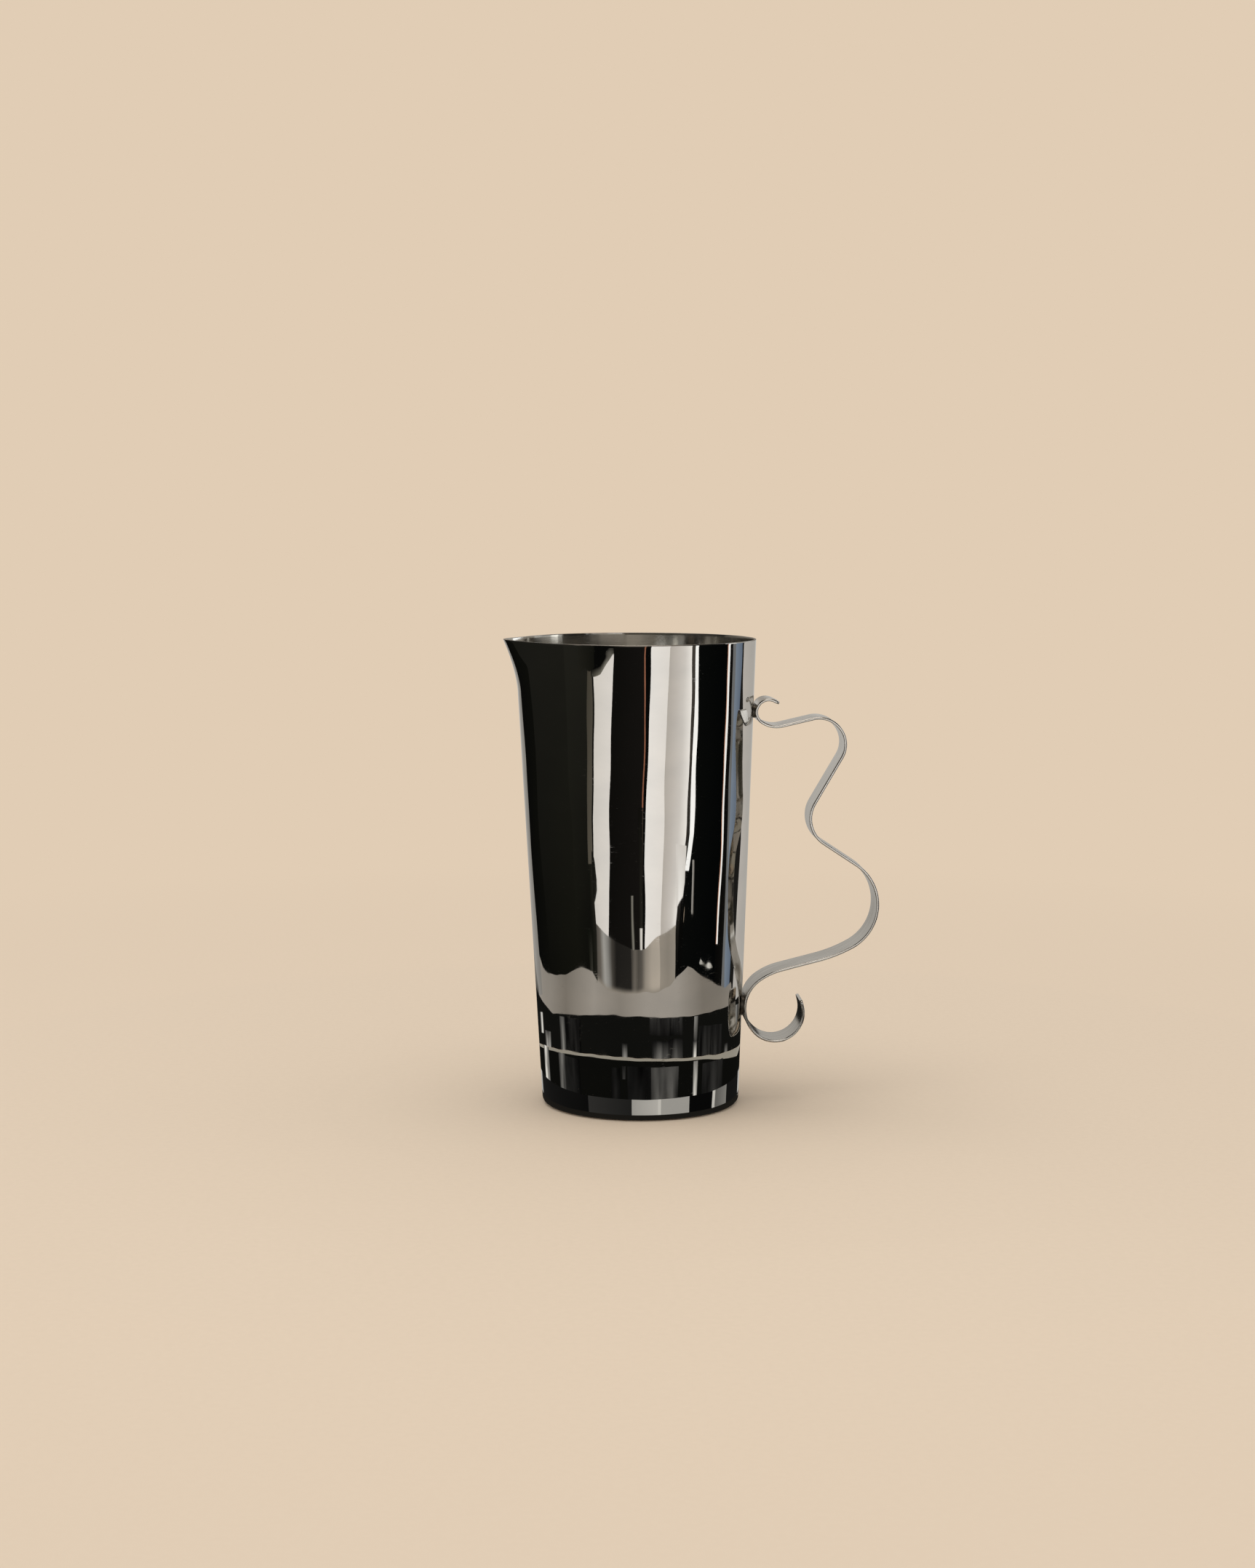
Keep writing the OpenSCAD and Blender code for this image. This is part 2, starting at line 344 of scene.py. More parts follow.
def make_strip():
    """The strip: a rounded flat section swept along its bends, seated against the leaning wall."""
    stations = strip_path()
    seat_z = HEIGHT - SEAT_DROP
    seat = Matrix.Rotation(-LEAN, 4, "Y") @ Matrix.Translation((wall_r(seat_z), 0, seat_z))
    seat = np.array(seat @ Matrix.Rotation(TAPER, 4, "Y"))
    rows = []
    for x, z, heading, half, _ in stations:
        h = math.radians(heading)
        row = [(x - off * math.sin(h), side, z + off * math.cos(h), 1.0) for off, side in strip_section(half)]
        rows.append((np.array(row) @ seat.T)[:, :3])
    piece = grid_mesh("strip", rows)
    finish_strip(piece.data, [station[-1] for station in stations])
    piece.data.set_sharp_from_angle(angle=SHARP_STRIP)
    bevel = piece.modifiers.new("eased ends", "BEVEL")
    bevel.width = END_R * MM
    bevel.segments = 3
    bevel.limit_method = "ANGLE"
    bevel.angle_limit = SHARP_STRIP
    bevel.material = EDGE
    even = piece.modifiers.new("even shading", "WEIGHTED_NORMAL")
    even.keep_sharp = True
    return piece


# Materials
def srgb(*c):
    """Linear colour of an sRGB triplet from 0 to 255."""
    return tuple(v / 255 / 12.92 if v <= 10.31 else ((v / 255 + 0.055) / 1.055) ** 2.4 for v in c) + (1.0,)


class Nodes:
    """Short hand for building a node material."""

    def __init__(self, name):
        self.material = bpy.data.materials.new(name)
        self.material.use_nodes = True
        self.tree = self.material.node_tree
        self.shader = self.tree.nodes["Principled BSDF"]

    def feed(self, socket, value):
        """Link a socket to another one, or set it to a plain value."""
        if isinstance(value, bpy.types.NodeSocket):
            self.tree.links.new(value, socket)
        else:
            socket.default_value = value

    def add(self, kind, inputs=None, **settings):
        node = self.tree.nodes.new(kind)
        for key, value in settings.items():
            setattr(node, key, value)
        for key, value in (inputs or {}).items():
            self.feed(node.inputs[key], value)
        return node

    def coords(self, scale, kind="Object"):
        source = self.add("ShaderNodeTexCoord").outputs[kind]
        return self.add("ShaderNodeMapping", {"Vector": source, "Scale": scale}).outputs["Vector"]

    def round_wall(self, turns, per_metre):
        """Coordinates that run round the wall and up it, so that marks can be drawn out either way."""
        xyz = self.add("ShaderNodeSeparateXYZ", {"Vector": self.add("ShaderNodeTexCoord").outputs["Object"]})
        angle = self.math("ARCTAN2", xyz.outputs["Y"], xyz.outputs["X"])
        ring = self.add("ShaderNodeCombineXYZ", {
            "X": self.math("MULTIPLY", self.math("COSINE", angle), turns),
            "Y": self.math("MULTIPLY", self.math("SINE", angle), turns),
            "Z": self.math("MULTIPLY", xyz.outputs["Z"], per_metre)})
        return ring.outputs["Vector"]

    def math(self, operation, a, b=0.0):
        return self.add("ShaderNodeMath", {0: a, 1: b}, operation=operation).outputs[0]

    def noise(self, vector, scale=1.0, detail=2.0, rough=0.5):
        inputs = {"Vector": vector, "Scale": scale, "Detail": detail, "Roughness": rough}
        return self.add("ShaderNodeTexNoise", inputs).outputs["Fac"]

    def specks(self, vector):
        """Distance to the nearest of scattered points."""
        return self.add("ShaderNodeTexVoronoi", {"Vector": vector, "Scale": 1.0}).outputs["Distance"]

    def spread(self, value, low, high, to_low, to_high):
        """Carry a value from one range over to another."""
        inputs = {"Value": value, "From Min": low, "From Max": high, "To Min": to_low, "To Max": to_high}
        return self.add("ShaderNodeMapRange", inputs).outputs["Result"]

    def blend(self, fac, a, b):
        return self.add("ShaderNodeMix", {0: fac, 6: a, 7: b}, data_type="RGBA").outputs[2]

    def bump(self, height, distance, strength=1.0, after=None):
        inputs = {"Height": height, "Distance": distance, "Strength": strength}
        if after is not None:
            inputs["Normal"] = after
        return self.add("ShaderNodeBump", inputs).outputs["Normal"]

    def use(self, **links):
        """Set or link the shader's own sockets."""
        for key, value in links.items():
            self.feed(self.shader.inputs[key.replace("_", " ")], value)
        return self.material


def mirror_steel():
    """Hand-polished sheet: mirror bright, with faint smears, hairline marks and a few tiny pits."""
    m = Nodes("mirror steel")
    smear = m.noise(m.round_wall(3.0, 22.0), 1.6, 4.0, 0.55)
    cloud = m.noise(m.round_wall(1.2, 30.0), 2.0, 3.0, 0.5)
    hair = m.noise(m.round_wall(160.0, 90.0), 3.0, 2.0, 0.6)
    pit = m.spread(m.specks(m.round_wall(40.0, 700.0)), 0.0, 0.05, 1.0, 0.0)
    tone = m.blend(m.spread(cloud, 0.35, 0.7, 0.0, 1.0), srgb(198, 196, 192), srgb(206, 203, 198))
    tone = m.blend(m.math("MULTIPLY", pit, 0.35), tone, srgb(120, 116, 110))
    rough = m.math("ADD", m.spread(smear, 0.45, 0.8, 0.012, 0.05), m.math("MULTIPLY", pit, 0.2))
    dash = m.spread(m.noise(m.round_wall(16.0, 1500.0), 1.0, 2.0, 0.5), 0.64, 0.69, 0.0, 1.0)
    worn = m.spread(m.noise(m.round_wall(1.6, 17.0), 1.7, 2.0, 0.5), 0.52, 0.66, 0.0, 1.0)
    rough = m.math("ADD", rough, m.math("MULTIPLY", m.math("MULTIPLY", dash, worn), 0.12))
    normal = m.bump(hair, 0.0000005, 0.4)
    normal = m.bump(pit, -0.000012, 0.5, normal)
    return m.use(Metallic=1.0, Base_Color=tone, Roughness=rough, Normal=normal)


def brushed_inside():
    """Inside of the sheet: brushed round the wall, so its highlights stretch up and down."""
    m = Nodes("brushed inside")
    lines = m.noise(m.round_wall(1.4, 2600.0), 1.0, 3.0, 0.6)
    broad = m.noise(m.round_wall(2.2, 120.0), 1.0, 3.0, 0.5)
    tone = m.blend(m.spread(lines, 0.3, 0.7, 0.0, 1.0), srgb(208, 206, 200), srgb(224, 222, 217))
    rough = m.math("ADD", m.spread(lines, 0.3, 0.7, 0.09, 0.13), m.spread(broad, 0.3, 0.7, -0.015, 0.02))
    tangent = m.add("ShaderNodeTangent", direction_type="RADIAL", axis="Z").outputs["Tangent"]
    m.use(Metallic=1.0, Base_Color=tone, Roughness=rough, Normal=m.bump(lines, 0.000012, 0.5))
    return m.use(Anisotropic=0.85, Anisotropic_Rotation=0.25, Tangent=tangent)


def rim_steel():
    """Polished cut edge of the sheet, worn brighter on its corners."""
    m = Nodes("rim steel")
    wear = m.noise(m.round_wall(90.0, 900.0), 1.0, 3.0, 0.6)
    tone = m.blend(m.spread(wear, 0.35, 0.65, 0.0, 1.0), srgb(150, 146, 139), srgb(186, 182, 175))
    rough = m.spread(wear, 0.3, 0.7, 0.10, 0.22)
    return m.use(Metallic=1.0, Base_Color=tone, Roughness=rough, Normal=m.bump(wear, 0.00001, 0.5))


def strip_face():
    """Flat faces of the strip: polished along its length, with a soft haze and a few rub marks."""
    m = Nodes("strip face")
    grain = m.noise(m.coords((30.0, 90.0, 1.0), "UV"), 1.0, 3.0, 0.55)
    rub = m.noise(m.coords((38.0, 38.0, 38.0)), 1.0, 4.0, 0.6)
    nick = m.spread(m.specks(m.coords((170.0, 170.0, 170.0))), 0.0, 0.09, 1.0, 0.0)
    tone = m.blend(m.spread(grain, 0.36, 0.64, 0.0, 1.0), srgb(186, 182, 174), srgb(212, 209, 203))
    tone = m.blend(m.spread(rub, 0.45, 0.72, 0.0, 0.4), tone, srgb(160, 155, 146))
    tone = m.blend(m.math("MULTIPLY", nick, 0.5), tone, srgb(96, 92, 86))
    rough = m.math("ADD", m.spread(grain, 0.3, 0.7, 0.17, 0.08), m.spread(rub, 0.3, 0.8, 0.0, 0.06))
    normal = m.bump(grain, 0.000006, 0.4)
    normal = m.bump(nick, -0.00002, 0.4, normal)
    return m.use(Metallic=1.0, Base_Color=tone, Roughness=rough, Normal=normal)


def strip_edge():
    """Eased long edges of the strip, rubbed bright by hands and polish."""
    m = Nodes("strip edge")
    rub = m.noise(m.coords((60.0, 60.0, 60.0)), 1.0, 4.0, 0.6)
    tone = m.blend(m.spread(rub, 0.35, 0.7, 0.0, 1.0), srgb(206, 203, 198), srgb(224, 222, 217))
    rough = m.spread(rub, 0.3, 0.75, 0.14, 0.22)
    return m.use(Metallic=1.0, Base_Color=tone, Roughness=rough, Normal=m.bump(rub, 0.000004, 0.1))


def weld_steel_painted_shade():
    """Ground weld: duller, slightly uneven, and toned dark with painted shade, which stands for the shade and
    dark reflections round the joints.
    """
    m = Nodes("weld steel painted shade")
    lump = m.noise(m.coords((420.0, 420.0, 420.0)), 1.0, 4.0, 0.6)
    # The dark tone is painted shade: the weld's own grey, darkened for the shade and dark reflections at the
    # joints.
    tone = m.blend(m.spread(lump, 0.35, 0.7, 0.0, 1.0), srgb(68, 64, 58), srgb(100, 95, 87))
    rough = m.spread(lump, 0.3, 0.7, 0.28, 0.45)
    return m.use(Metallic=1.0, Base_Color=tone, Roughness=rough, Normal=m.bump(lump, 0.00012, 0.6))


outside, inside, rim = mirror_steel(), brushed_inside(), rim_steel()
add_piece(make_wall(), "body_shell", [outside, inside, rim])
add_piece(make_pan(), "base_pan", [outside, inside])
add_piece(make_strip(), "handle_strip", [strip_face(), strip_edge()])
# Both welds get the weld steel with its painted shade.
weld = weld_steel_painted_shade()
for name in ("upper_weld", "lower_weld"):
    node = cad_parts[name]
    node.data.materials.clear()
    node.data.materials.append(weld)

# Studio
PALE = srgb(225, 205, 181)
STEEL = (0.60, 0.585, 0.565)

# The cards stand round the object. Their angles are 0 to the camera and + to the handle
CARD_R = 285.0
CARD_TOP = 340.0
CLOTH_TOP = 460.0
RIM_OUTER_R = 156.0
RIM_INNER_R = 82.0
BAND_R = 57.5
MOUTH_R = 281.0
MOUTH_Z = 239.0
MOUTH_TOP = 310.0
FLOOR_Z = 0.4

# Each card stands a step farther out than the one before, so that no two share a surface, and laps to the right
CARD_STEP = 0.02
CARD_LAP = 0.15
# How finely a card is divided: rows, degrees to a column, and rounds that settle its slanted edges
CARD_ROWS = 25
CARD_COLUMN = 2.5
CARD_ROUNDS = 6
CARD_START = 300.0
RING_COLUMNS = 181
# The part of a card's height over which the tone below it fades out
CARD_BELOW = 0.1

# Outlines of the cards, as heights at angles round the object. The middle ones stand on the floor
FOOT = (
    (-180, 0), (-139, 30), (-125, 17), (-112, 12), (-97, 10.5), (-83, 11), (-62, 14.5), (-51, 12.5), (-46, 7),
    (-36, 1), (-5, 0), (17, 2.5), (28, 7), (34, 12.5), (46, 19), (55, 16.5), (87, 9), (98, 8), (110, 12),
    (114, 0))
HAZE = ((-53, 45), (-44, 41), (-35, 36), (-26, 31.5), (-10, 27), (3, 28), (15, 35), (28, 41), (34, 44))
CUT_CORNER = (
    (-46, 186.5), (-42.6, 187.5), (-39, 188), (-34, 190), (-29.2, 195.3), (-24.3, 199.6), (-20, 201))
DARK_TOP = ((-54, 190), (-47, 193), (-44, 190), (-38, 194))
NOTCH_FOOT = ((-47, 52), (-44, 56), (-42, 62))
NOTCH_TOP = ((-47, 86), (-44, 80), (-42, 68))
WING_FOOT = ((33, 53), (36, 57), (40, 61), (42, 70))
SPOT_LEFT_TOP = ((60, 23), (61.2, 25.4), (63, 24.2), (67, 22.4))
SPOT_RIGHT_FOOT = ((64, 21.6), (70, 20), (73, 19.4), (78, 20))
SPOT_RIGHT_TOP = ((64, 22), (69, 22), (71.5, 23.2), (75, 22.6), (78, 20.6))
LOW_FLAG_TOP = ((148, 6), (158, 20), (167, 33), (182, 36.5), (196, 33), (206, 20), (216, 6))
RIM_TOP = ((-150, 33), (-101, 20.5), (-60, 22), (-26, 24), (20, 23.5), (54, 24), (101, 27), (150, 33))
INNER_TOP = (
    (-165, 20.5), (-130, 17), (-88, 20), (-45, 22), (10, 21.5), (50, 20), (78, 17), (109, 14), (150, 20.5))
BAND_TOP = ((-100, 12), (-45, 9.2), (0, 8.6), (45, 9.2), (100, 12))

# The level of grey of the floor paper, which is unevenly lit, at angles round the object
PAPER = (
    (-180, 135), (-110, 130), (-85, 112), (-50, 142), (-22, 125), (5, 145), (35, 145), (65, 112), (90, 115),
    (130, 135), (180, 135))

# Upright edges of the cards: their angles at these levels
LEVELS = (0, 50, 100, 150, 200, 340)
GREY_EDGE = (-131, -136, -141, -138, -143, -143)
FLAG_EDGE = tuple(angle + 25 for angle in GREY_EDGE)
STRIPE = (-50, -50, -51, -48.5, -44.8, -44)
STRIPE_END = (-46, -46, -46.5, -43.2, -40.8, -40)
WHITE_LEFT = (-45.5, -45.3, -45, -41.5, -39.5, -39)
WHITE_RIGHT = (-33, -31.5, -29, -26, -22.4, -20)
WARM = (0.5, -0.5, 0.3, 2.6, 4.0, 5.0)
WARM_END = (1.5, 0.5, 1.3, 3.7, 5.1, 6.1)
KEY_LEFT = (2.4, 2.7, 3.2, 6.8, 9.4, 10.5)
KEY_RIGHT = (18, 19, 20.2, 22, 25.6, 28)
BEIGE_RIGHT = (33, 33.0, 43.5, 45.4, 45.7, 45.9)
WING_RIGHT = (41, 41, 43.5, 45.4, 45.7, 45.9)
LINE_LEFT = (34, 36.5, 46.5, 48.3, 49.2, 49.3)
LINE_RIGHT = (38, 40.5, 51, 52.8, 52.2, 52.2)
SHORT_LEFT = (49.3, 49.5, 50.2, 50.5, 51, 51)
SHORT_RIGHT = (51.3, 51.5, 52.2, 52.4, 53, 53)
FAR_LEFT = (81, 81.5, 84.6, 84.8, 85.7, 86)
FAR_WARM_END = tuple(angle + 0.8 for angle in FAR_LEFT)
FAR_RIGHT = (83.5, 84.5, 87.6, 88.2, 89.3, 89.6)
SLATE_LEFT = (92, 93.5, 93.7, 93.5, 93.2, 93)
BLUE_LEFT = (97, 97, 97, 97, 97.6, 98)
BLUE_RIGHT = (106, 107.5, 109, 106, 109, 110)
BACK_LEFT = (114, 117, 122, 118, 112, 112)
BACK_RIGHT = tuple(angle + 360 for angle in GREY_EDGE)

# Spots on the low rims: left and right edge, foot, top, levels of grey and the level at their top, if another
GLINTS = (
    (-135, -125, 8, 20, (90, 205, 60), None),
    (-121, -108, 1, 10, (60, 190, 40), 70),
    (-90, -82, 1, 20, (20, 110, 20), 80),
    (-82, -62, 1, 20, (25, 35, 15), None),
    (-20.5, -14.5, 1, 9, (30, 150, 25), 20),
    (8, 25, 1, 11, (20, 95, 50), 15),
    (25, 38, 1, 12, (55, 80, 40), 20),
    (6, 38, 14, 24, (20,), 45),
    (49.5, 54, 1, 10, (90, 220, 60), 50),
    (50, 54, 10, 24, (30, 60, 25), 120),
    (56, 88, 1, 18, (25, 45, 20), 25),
    (93, 101, 1, 6, (30, 110, 30), 20),
    (112, 128, 10, 26, (30, 110, 40), None))
SPARKS = (
    (-109, -97, 0.6, 21, (110, 240, 180, 30), None),
    (-79, -70, 0.6, 21, (30, 110, 35), None),
    (-70, -54, 0.6, 20, (35, 30, 10), None),
    (-26, -19, 0.6, 18, (10, 25, 15), None),
    (-17.5, -14.5, 12, 19, (25, 70, 25), 30),
    (-13, 5, 0.6, 19, (20, 15), 15),
    (5, 27, 0.6, 18.5, (25, 85, 60, 75, 20), 55),
    (41, 45, 0.6, 20, (120, 240, 70), 150),
    (50, 76, 0.6, 18, (20, 45, 15), 30))


def seen(r, g, b):
    """Light of a card that the polished steel shows as this colour."""
    return tuple(c / s for c, s in zip(srgb(r, g, b), STEEL)) + (1.0,)


def plain(*levels):
    """Tones of a plain grey at these levels."""
    return [seen(level, 0.98 * level, 0.94 * level) for level in levels]


def warm_grey(*levels):
    """Tones of a grey with a warm cast at these levels."""
    return [seen(level, 0.94 * level, 0.86 * level) for level in levels]


BLACK = seen(8, 8, 7)
DARK = seen(16, 15, 13)

# Cards at the edge of the foot: left and right edge, and levels of plain grey
BANDS = (
    (-180, -118, (30,)),
    (-118, -104, (150,)),
    (-104, -39, (25, 12)),
    (-39, -9, (45, 30)),
    (-9, 8, (150, 170)),
    (8, 10, (185,)),
    (10, 30, (150,)),
    (30, 50, (8,)),
    (50, 53, (185,)),
    (53, 68, (90, 120)),
    (68, 98, (20,)),
    (98, 126, (150,)),
    (126, 180, (30,)))
# Cards above the mouth: left and right edge, kind of grey and its levels
MOUTH = (
    (-180, -165, warm_grey, (140, 120)),
    (-165, -112, warm_grey, (115, 100, 70)),
    (-112, -58, warm_grey, (40, 48)),
    (-58, -49, warm_grey, (60, 105, 60)),
    (-49, -33, warm_grey, (55, 70)),
    (-33, -12, warm_grey, (80, 120)),
    (-12, 6, warm_grey, (130, 140)),
    (6, 36, warm_grey, (112, 105)),
    (36, 82, warm_grey, (85, 30, 25, 45)),
    (82, 88, plain, (150,)),
    (88, 98, plain, (254, 215)),
    (98, 126, plain, (150, 130, 150)),
    (126, 180, warm_grey, (110, 105, 140)))


def card_paint(streaks):
    """Even glow in the card's own tone, broken by upright streaks where streaks is above 0."""
    material = bpy.data.materials.new(f"card paint {streaks}")
    material.use_nodes = True
    tree = material.node_tree
    tree.nodes.clear()
    tone = tree.nodes.new("ShaderNodeAttribute")
    tone.attribute_name = "tone"
    light = tree.nodes.new("ShaderNodeEmission")
    out = tree.nodes.new("ShaderNodeOutputMaterial")
    tree.links.new(tone.outputs["Color"], light.inputs["Color"])
    tree.links.new(light.outputs[0], out.inputs["Surface"])
    if streaks:
        place = tree.nodes.new("ShaderNodeTexCoord")
        stretch = tree.nodes.new("ShaderNodeMapping")
        stretch.inputs["Scale"].default_value = (70.0, 70.0, 26.0)
        noise = tree.nodes.new("ShaderNodeTexNoise")
        noise.inputs["Scale"].default_value = 1.0
        noise.inputs["Detail"].default_value = 3.0
        span = tree.nodes.new("ShaderNodeMapRange")
        span.inputs["From Min"].default_value = 0.3
        span.inputs["From Max"].default_value = 0.7
        span.inputs["To Min"].default_value = 1.0 - streaks
        span.inputs["To Max"].default_value = 1.0 + streaks
        tree.links.new(place.outputs["Object"], stretch.inputs["Vector"])
        tree.links.new(stretch.outputs["Vector"], noise.inputs["Vector"])
        tree.links.new(noise.outputs["Fac"], span.inputs["Value"])
        tree.links.new(span.outputs["Result"], light.inputs["Strength"])
    return material


PAINT = card_paint(0)
STREAKY = card_paint(0.75)
CARDS = []


def curve(table):
    """Function that runs straight from point to point of a table."""
    return lambda x: np.interp(x, *zip(*table))


def flat(z):
    """Function that is the same everywhere."""
    return lambda x: np.full_like(x, float(z))


def around(radius, angle, level):
    """Points round the object at angles in degrees."""
    angle = np.radians(angle)
    return np.stack([radius * np.sin(angle), -radius * np.cos(angle), np.full_like(angle, level)], axis=-1)


def put_up(name, rings, tones, paint):
    """Make a stage card from rows of points with a tone for each, which only reflections see."""
    piece = grid_mesh(name, rings, closed_rings=False)
    attribute = piece.data.attributes.new("tone", "FLOAT_COLOR", "POINT")
    attribute.data.foreach_set("color", np.array(tones).astype(np.float32).ravel())
    piece.data.materials.append(paint)
    piece.visible_camera = False
    piece.visible_diffuse = False
    piece.visible_shadow = False
    piece.visible_transmission = False


def card(name, left, right, *tones, foot=curve(FOOT), top=flat(CARD_TOP), radius=CARD_R, paint=PAINT,
         above=None, below=None):
    """Upright card bent round the object. left and right are its edges: an angle, or the angles at LEVELS.
    The tones run evenly from its left edge to its right, and blend upwards into above, where that is given.
    below is the tone at its foot, which fades out over the lowest tenth."""
    left = np.broadcast_to(left, (len(LEVELS),))
    right = np.broadcast_to(np.array(right) + CARD_LAP, (len(LEVELS),))
    radius = radius + CARD_STEP * len(CARDS)
    CARDS.append(name)
    across = np.linspace(0, 1, max(4 * len(tones) - 1, int(np.max(right - left) / CARD_COLUMN) + 2))
    up = np.linspace(0, 1, CARD_ROWS)
    rings = []
    for t in up:
        level = np.full_like(across, CARD_START * t)
        for _ in range(CARD_ROUNDS):
            phi = np.interp(level, LEVELS, left) * (1 - across) + np.interp(level, LEVELS, right) * across
            level = foot(phi) * (1 - t) + top(phi) * t
        rings.append(around(radius, phi, level))
    at = np.linspace(0, 1, len(tones))
    row = np.stack([np.interp(across, at, channel) for channel in zip(*tones)], axis=-1)
    up = up[:, None, None]
    shades = row * (1 - up) + (np.array(above) if above else row) * up
    if below:
        low = np.clip(1 - up / CARD_BELOW, 0, 1)
        shades = shades * (1 - low) + np.array(below) * low
    put_up(name, rings, shades, paint)


def floor_ring(name, inner, outer, level, tone):
    """Flat ring of card on the floor. tone gives the colour at an angle."""
    angle = np.linspace(-180.0, 180.0, RING_COLUMNS)
    rings = [around(radius, angle, level) for radius in (inner, outer)]
    put_up(name, rings, [tone(a) for a in angle] * 2, PAINT)


def paper_tone(angle):
    """Colour of the floor paper at an angle."""
    grey = np.interp(angle, *zip(*PAPER))
    return seen(grey + 6, grey - 1, grey - 10)


def left_cards():
    """Left side: one wide black flag, a dull stripe, then a white card with a cut corner."""
    near = CARD_R - 1
    corner = curve(CUT_CORNER)
    dim = seen(18, 18, 13)
    card("flag left far", GREY_EDGE, FLAG_EDGE, BLACK, seen(13, 13, 10))
    card("flag left", FLAG_EDGE, -68, seen(13, 13, 10), dim, above=seen(32, 31, 27))
    card("flag left near", -68, STRIPE, dim, seen(12, 12, 9), above=seen(38, 37, 32))
    card("dull stripe", STRIPE, STRIPE_END, seen(84, 78, 68), seen(94, 88, 77), above=seen(36, 34, 27))
    card("dull stripe low", STRIPE, STRIPE_END, seen(16, 17, 12), seen(30, 29, 24), top=flat(78), radius=near)
    card("dull stripe foot", -54, -45.4, dim, seen(50, 49, 43), seen(28, 27, 22), seen(38, 37, 31),
         top=flat(38), radius=near, above=seen(16, 17, 12))
    card("gap left", STRIPE_END, WHITE_LEFT, DARK, seen(24, 23, 19))
    card("dark top left", -54, -38.6, seen(30, 29, 24), seen(18, 18, 14), foot=curve(DARK_TOP),
         radius=CARD_R - 2)
    card("white left smear", -42, WHITE_RIGHT, seen(34, 33, 27), seen(104, 100, 89), seen(128, 124, 114),
         seen(66, 63, 55), foot=corner, top=lambda x: corner(x) + 4.5, radius=near, above=BLACK)
    card("white left notch", -47, -42.2, seen(14, 15, 11), seen(30, 29, 25), foot=curve(NOTCH_FOOT),
         top=curve(NOTCH_TOP), radius=near)
    card("white left", WHITE_LEFT, WHITE_RIGHT, seen(206, 200, 192), seen(216, 210, 203), foot=curve(HAZE),
         top=corner)
    card("white left dark top", WHITE_LEFT, WHITE_RIGHT, BLACK, foot=corner)


def middle_cards():
    """Middle: a dark gap, thin lines, the main white card and its beige wing."""
    near = CARD_R - 1
    haze = curve(HAZE)
    card("gap middle", WHITE_RIGHT, WARM, seen(14, 13, 11), seen(20, 18, 16), foot=haze)
    card("warm edge", WARM, WARM_END, seen(134, 88, 67), foot=flat(112))
    card("warm edge foot", WARM, WARM_END, BLACK, seen(60, 52, 45), foot=flat(64), top=flat(112))
    card("thin white", -2.4, 0.6, seen(120, 116, 108), seen(226, 221, 213), seen(96, 92, 84), foot=haze,
         top=flat(41), radius=near)
    card("thin white tail", -2.4, 0.6, seen(20, 20, 16), seen(40, 38, 33), seen(24, 23, 19), foot=flat(41),
         top=flat(112), radius=near, above=seen(16, 15, 12))
    card("thin grey", -10.2, -7.6, seen(60, 58, 51), seen(124, 120, 111), seen(50, 48, 42), foot=haze,
         top=flat(60), radius=near)
    card("thin gap", WARM, WARM_END, BLACK, foot=haze, top=flat(64))
    card("gap thin", WARM_END, KEY_LEFT, BLACK, foot=haze)
    card("key white", KEY_LEFT, KEY_RIGHT, seen(228, 223, 217), seen(222, 216, 209), foot=haze)
    card("key wing", KEY_RIGHT, BEIGE_RIGHT, seen(176, 169, 160), seen(188, 181, 173), seen(202, 196, 189),
         seen(232, 227, 220), foot=haze)
    card("gap wing", BEIGE_RIGHT, LINE_LEFT, BLACK, above=seen(80, 74, 67))
    card("wing corner", 33, WING_RIGHT, seen(206, 200, 193), seen(238, 234, 228), seen(232, 228, 222),
         seen(208, 203, 196), foot=curve(WING_FOOT), top=flat(92), radius=near, above=seen(208, 202, 195))


def right_cards():
    """Right side: a wide dark flag between bright lines, low spots, and a slate and a blue card."""
    near = CARD_R - 1
    dull = seen(60, 58, 52)
    card("bright line", LINE_LEFT, LINE_RIGHT, seen(246, 244, 240), foot=flat(77))
    card("bright line foot", LINE_LEFT, LINE_RIGHT, BLACK, top=flat(77))
    card("low spot left", 59.8, 67, seen(150, 147, 139), seen(176, 172, 164), seen(120, 116, 108), dull,
         foot=flat(22), top=curve(SPOT_LEFT_TOP), radius=near)
    card("low spot right", 64, 78, dull, seen(92, 89, 82), seen(204, 200, 192), seen(180, 176, 168), dull,
         foot=curve(SPOT_RIGHT_FOOT), top=curve(SPOT_RIGHT_TOP), radius=CARD_R - 1.5)
    card("short line", SHORT_LEFT, SHORT_RIGHT, seen(168, 163, 156), seen(70, 66, 60), foot=flat(52),
         top=flat(84), radius=near)
    card("flag right", LINE_RIGHT, FAR_LEFT, seen(8, 9, 8), seen(4, 5, 5))
    card("far line warm", FAR_LEFT, FAR_WARM_END, seen(176, 122, 94), foot=flat(34))
    card("far line", FAR_WARM_END, FAR_RIGHT, seen(238, 235, 230), foot=flat(34))
    card("far line foot", FAR_LEFT, FAR_RIGHT, BLACK, top=flat(34))
    card("gap right", FAR_RIGHT, SLATE_LEFT, BLACK, DARK)
    card("slate line", SLATE_LEFT, BLUE_LEFT, seen(104, 104, 103))
    card("blue card", BLUE_LEFT, BLUE_RIGHT, seen(114, 124, 136), seen(90, 101, 116))
    card("gap back right", BLUE_RIGHT, BACK_LEFT, seen(26, 25, 23))


